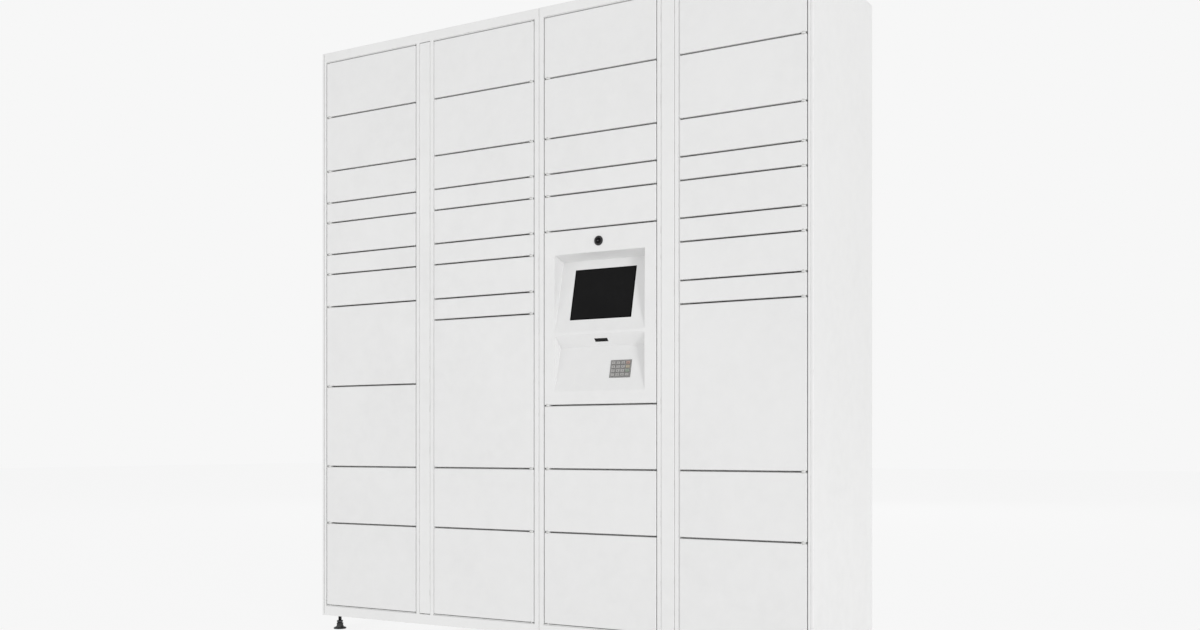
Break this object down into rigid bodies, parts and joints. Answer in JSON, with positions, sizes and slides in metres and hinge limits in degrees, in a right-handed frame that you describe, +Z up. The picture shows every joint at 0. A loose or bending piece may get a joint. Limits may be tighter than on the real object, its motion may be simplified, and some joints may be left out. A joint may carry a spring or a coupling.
{
  "type": "parcel locker",
  "caption": "Free-standing indoor parcel locker: joined steel cabinets with hinged compartment doors of many heights, covered lock channels between the columns and a touchscreen kiosk.",
  "frame": {"origin": "on the floor, under the middle of the locker's bounding box", "axes": "+Z up; the doors face -Y; +X to the right for a person who faces the doors"},
  "size_m": [1.829, 0.522, 2.033],
  "materials": {
    "door_coat": "satin white powder coat",
    "cabinet_coat": "satin white powder coat",
    "zinc_plate": "zinc-plated steel",
    "black_steel": "black-coated steel",
    "black_glass": "black cover glass over a dark display",
    "black_plastic": "satin black plastic",
    "keypad_metal": "dull grey metal",
    "key_metal": "satin steel",
    "grey_paint": "grey enamel"
  },
  "bodies": {
    "cabinet": {"column_1_body": "cabinet_coat", "hinge_rod_1": "zinc_plate", "column_2_body": "cabinet_coat", "hinge_rod_2": "zinc_plate", "column_3_body": "cabinet_coat", "hinge_rod_3": "zinc_plate", "column_4_body": "cabinet_coat", "hinge_rod_4": "zinc_plate", "lock_channel_cover_1": "cabinet_coat", "base_frame_1": "black_steel", "lock_channel_cover_2": "cabinet_coat", "base_frame_2": "black_steel", "control_box": "grey_paint"},
    "door_1_01": {"door_1_01": "door_coat"},
    "door_1_02": {"door_1_02": "door_coat"},
    "door_1_03": {"door_1_03": "door_coat"},
    "door_1_04": {"door_1_04": "door_coat"},
    "door_1_05": {"door_1_05": "door_coat"},
    "door_1_06": {"door_1_06": "door_coat"},
    "door_1_07": {"door_1_07": "door_coat"},
    "door_1_08": {"door_1_08": "door_coat"},
    "door_1_09": {"door_1_09": "door_coat"},
    "door_1_10": {"door_1_10": "door_coat"},
    "door_1_11": {"door_1_11": "door_coat"},
    "door_2_01": {"door_2_01": "door_coat"},
    "door_2_02": {"door_2_02": "door_coat"},
    "door_2_03": {"door_2_03": "door_coat"},
    "door_2_04": {"door_2_04": "door_coat"},
    "door_2_05": {"door_2_05": "door_coat"},
    "door_2_06": {"door_2_06": "door_coat"},
    "door_2_07": {"door_2_07": "door_coat"},
    "door_2_08": {"door_2_08": "door_coat"},
    "door_2_09": {"door_2_09": "door_coat"},
    "door_2_10": {"door_2_10": "door_coat"},
    "door_2_11": {"door_2_11": "door_coat"},
    "door_3_01": {"door_3_01": "door_coat"},
    "door_3_02": {"door_3_02": "door_coat"},
    "door_3_03": {"door_3_03": "door_coat"},
    "door_3_04": {"door_3_04": "door_coat"},
    "door_3_05": {"door_3_05": "door_coat"},
    "door_3_06": {"door_3_06": "door_coat"},
    "door_3_07": {"door_3_07": "door_coat"},
    "door_3_08": {"door_3_08": "door_coat"},
    "door_4_01": {"door_4_01": "door_coat"},
    "door_4_02": {"door_4_02": "door_coat"},
    "door_4_03": {"door_4_03": "door_coat"},
    "door_4_04": {"door_4_04": "door_coat"},
    "door_4_05": {"door_4_05": "door_coat"},
    "door_4_06": {"door_4_06": "door_coat"},
    "door_4_07": {"door_4_07": "door_coat"},
    "door_4_08": {"door_4_08": "door_coat"},
    "door_4_09": {"door_4_09": "door_coat"},
    "door_4_10": {"door_4_10": "door_coat"},
    "door_4_11": {"door_4_11": "door_coat"},
    "kiosk": {"kiosk_door": "door_coat", "touchscreen": "black_glass", "camera": "black_plastic", "scanner": "black_plastic", "keypad_frame": "keypad_metal"},
    "keys": {"keypad_keys": "key_metal"}
  },
  "joints": [
    {"name": "door_1_01_hinge", "type": "hinge", "parent": "cabinet", "child": "door_1_01", "pos_m": [-0.8835, -0.25, 1.90185], "axis": [0, 0, -1], "range_deg": [0, 90]},
    {"name": "door_1_02_hinge", "type": "hinge", "parent": "cabinet", "child": "door_1_02", "pos_m": [-0.8835, -0.25, 1.70985], "axis": [0, 0, -1], "range_deg": [0, 90]},
    {"name": "door_1_03_hinge", "type": "hinge", "parent": "cabinet", "child": "door_1_03", "pos_m": [-0.8835, -0.25, 1.55905], "axis": [0, 0, -1], "range_deg": [0, 90]},
    {"name": "door_1_04_hinge", "type": "hinge", "parent": "cabinet", "child": "door_1_04", "pos_m": [-0.8835, -0.25, 1.46825], "axis": [0, 0, -1], "range_deg": [0, 90]},
    {"name": "door_1_05_hinge", "type": "hinge", "parent": "cabinet", "child": "door_1_05", "pos_m": [-0.8835, -0.25, 1.37745], "axis": [0, 0, -1], "range_deg": [0, 90]},
    {"name": "door_1_06_hinge", "type": "hinge", "parent": "cabinet", "child": "door_1_06", "pos_m": [-0.8835, -0.25, 1.28665], "axis": [0, 0, -1], "range_deg": [0, 90]},
    {"name": "door_1_07_hinge", "type": "hinge", "parent": "cabinet", "child": "door_1_07", "pos_m": [-0.8835, -0.25, 1.1945], "axis": [0, 0, -1], "range_deg": [0, 90]},
    {"name": "door_1_08_hinge", "type": "hinge", "parent": "cabinet", "child": "door_1_08", "pos_m": [-0.8835, -0.25, 0.9969], "axis": [0, 0, -1], "range_deg": [0, 90]},
    {"name": "door_1_09_hinge", "type": "hinge", "parent": "cabinet", "child": "door_1_09", "pos_m": [-0.8835, -0.25, 0.7161], "axis": [0, 0, -1], "range_deg": [0, 90]},
    {"name": "door_1_10_hinge", "type": "hinge", "parent": "cabinet", "child": "door_1_10", "pos_m": [-0.8835, -0.25, 0.4761], "axis": [0, 0, -1], "range_deg": [0, 90]},
    {"name": "door_1_11_hinge", "type": "hinge", "parent": "cabinet", "child": "door_1_11", "pos_m": [-0.8835, -0.25, 0.23125], "axis": [0, 0, -1], "range_deg": [0, 90]},
    {"name": "door_2_01_hinge", "type": "hinge", "parent": "cabinet", "child": "door_2_01", "pos_m": [-0.0315, -0.25, 1.90185], "axis": [0, 0, 1], "range_deg": [0, 90]},
    {"name": "door_2_02_hinge", "type": "hinge", "parent": "cabinet", "child": "door_2_02", "pos_m": [-0.0315, -0.25, 1.70985], "axis": [0, 0, 1], "range_deg": [0, 90]},
    {"name": "door_2_03_hinge", "type": "hinge", "parent": "cabinet", "child": "door_2_03", "pos_m": [-0.0315, -0.25, 1.55905], "axis": [0, 0, 1], "range_deg": [0, 90]},
    {"name": "door_2_04_hinge", "type": "hinge", "parent": "cabinet", "child": "door_2_04", "pos_m": [-0.0315, -0.25, 1.46825], "axis": [0, 0, 1], "range_deg": [0, 90]},
    {"name": "door_2_05_hinge", "type": "hinge", "parent": "cabinet", "child": "door_2_05", "pos_m": [-0.0315, -0.25, 1.37745], "axis": [0, 0, 1], "range_deg": [0, 90]},
    {"name": "door_2_06_hinge", "type": "hinge", "parent": "cabinet", "child": "door_2_06", "pos_m": [-0.0315, -0.25, 1.28665], "axis": [0, 0, 1], "range_deg": [0, 90]},
    {"name": "door_2_07_hinge", "type": "hinge", "parent": "cabinet", "child": "door_2_07", "pos_m": [-0.0315, -0.25, 1.1945], "axis": [0, 0, 1], "range_deg": [0, 90]},
    {"name": "door_2_08_hinge", "type": "hinge", "parent": "cabinet", "child": "door_2_08", "pos_m": [-0.0315, -0.25, 1.10235], "axis": [0, 0, 1], "range_deg": [0, 90]},
    {"name": "door_2_09_hinge", "type": "hinge", "parent": "cabinet", "child": "door_2_09", "pos_m": [-0.0315, -0.25, 0.82155], "axis": [0, 0, 1], "range_deg": [0, 90]},
    {"name": "door_2_10_hinge", "type": "hinge", "parent": "cabinet", "child": "door_2_10", "pos_m": [-0.0315, -0.25, 0.4761], "axis": [0, 0, 1], "range_deg": [0, 90]},
    {"name": "door_2_11_hinge", "type": "hinge", "parent": "cabinet", "child": "door_2_11", "pos_m": [-0.0315, -0.25, 0.23125], "axis": [0, 0, 1], "range_deg": [0, 90]},
    {"name": "door_3_01_hinge", "type": "hinge", "parent": "cabinet", "child": "door_3_01", "pos_m": [0.0315, -0.25, 1.90185], "axis": [0, 0, -1], "range_deg": [0, 90]},
    {"name": "door_3_02_hinge", "type": "hinge", "parent": "cabinet", "child": "door_3_02", "pos_m": [0.0315, -0.25, 1.70985], "axis": [0, 0, -1], "range_deg": [0, 90]},
    {"name": "door_3_03_hinge", "type": "hinge", "parent": "cabinet", "child": "door_3_03", "pos_m": [0.0315, -0.25, 1.55905], "axis": [0, 0, -1], "range_deg": [0, 90]},
    {"name": "door_3_04_hinge", "type": "hinge", "parent": "cabinet", "child": "door_3_04", "pos_m": [0.0315, -0.25, 1.46825], "axis": [0, 0, -1], "range_deg": [0, 90]},
    {"name": "door_3_05_hinge", "type": "hinge", "parent": "cabinet", "child": "door_3_05", "pos_m": [0.0315, -0.25, 1.37745], "axis": [0, 0, -1], "range_deg": [0, 90]},
    {"name": "door_3_06_hinge", "type": "hinge", "parent": "cabinet", "child": "door_3_06", "pos_m": [0.0315, -0.25, 0.6753], "axis": [0, 0, -1], "range_deg": [0, 90]},
    {"name": "door_3_07_hinge", "type": "hinge", "parent": "cabinet", "child": "door_3_07", "pos_m": [0.0315, -0.25, 0.4761], "axis": [0, 0, -1], "range_deg": [0, 90]},
    {"name": "door_3_08_hinge", "type": "hinge", "parent": "cabinet", "child": "door_3_08", "pos_m": [0.0315, -0.25, 0.23125], "axis": [0, 0, -1], "range_deg": [0, 90]},
    {"name": "kiosk_door_hinge", "type": "hinge", "parent": "cabinet", "child": "kiosk", "pos_m": [0.0315, -0.25, 1.04825], "axis": [0, 0, -1], "range_deg": [0, 90]},
    {"name": "door_4_01_hinge", "type": "hinge", "parent": "cabinet", "child": "door_4_01", "pos_m": [0.8835, -0.25, 1.90185], "axis": [0, 0, 1], "range_deg": [0, 90]},
    {"name": "door_4_02_hinge", "type": "hinge", "parent": "cabinet", "child": "door_4_02", "pos_m": [0.8835, -0.25, 1.70985], "axis": [0, 0, 1], "range_deg": [0, 90]},
    {"name": "door_4_03_hinge", "type": "hinge", "parent": "cabinet", "child": "door_4_03", "pos_m": [0.8835, -0.25, 1.55905], "axis": [0, 0, 1], "range_deg": [0, 90]},
    {"name": "door_4_04_hinge", "type": "hinge", "parent": "cabinet", "child": "door_4_04", "pos_m": [0.8835, -0.25, 1.46825], "axis": [0, 0, 1], "range_deg": [0, 90]},
    {"name": "door_4_05_hinge", "type": "hinge", "parent": "cabinet", "child": "door_4_05", "pos_m": [0.8835, -0.25, 1.37745], "axis": [0, 0, 1], "range_deg": [0, 90]},
    {"name": "door_4_06_hinge", "type": "hinge", "parent": "cabinet", "child": "door_4_06", "pos_m": [0.8835, -0.25, 1.28665], "axis": [0, 0, 1], "range_deg": [0, 90]},
    {"name": "door_4_07_hinge", "type": "hinge", "parent": "cabinet", "child": "door_4_07", "pos_m": [0.8835, -0.25, 1.1945], "axis": [0, 0, 1], "range_deg": [0, 90]},
    {"name": "door_4_08_hinge", "type": "hinge", "parent": "cabinet", "child": "door_4_08", "pos_m": [0.8835, -0.25, 1.10235], "axis": [0, 0, 1], "range_deg": [0, 90]},
    {"name": "door_4_09_hinge", "type": "hinge", "parent": "cabinet", "child": "door_4_09", "pos_m": [0.8835, -0.25, 0.82155], "axis": [0, 0, 1], "range_deg": [0, 90]},
    {"name": "door_4_10_hinge", "type": "hinge", "parent": "cabinet", "child": "door_4_10", "pos_m": [0.8835, -0.25, 0.4761], "axis": [0, 0, 1], "range_deg": [0, 90]},
    {"name": "door_4_11_hinge", "type": "hinge", "parent": "cabinet", "child": "door_4_11", "pos_m": [0.8835, -0.25, 0.23125], "axis": [0, 0, 1], "range_deg": [0, 90]},
    {"name": "keypad_key_press", "type": "slide", "parent": "kiosk", "child": "keys", "axis": [0, 0.973, -0.231], "range_m": [0, 0.0015], "stiffness_N_per_m": 1000, "springref_m": -0.002}
  ]
}
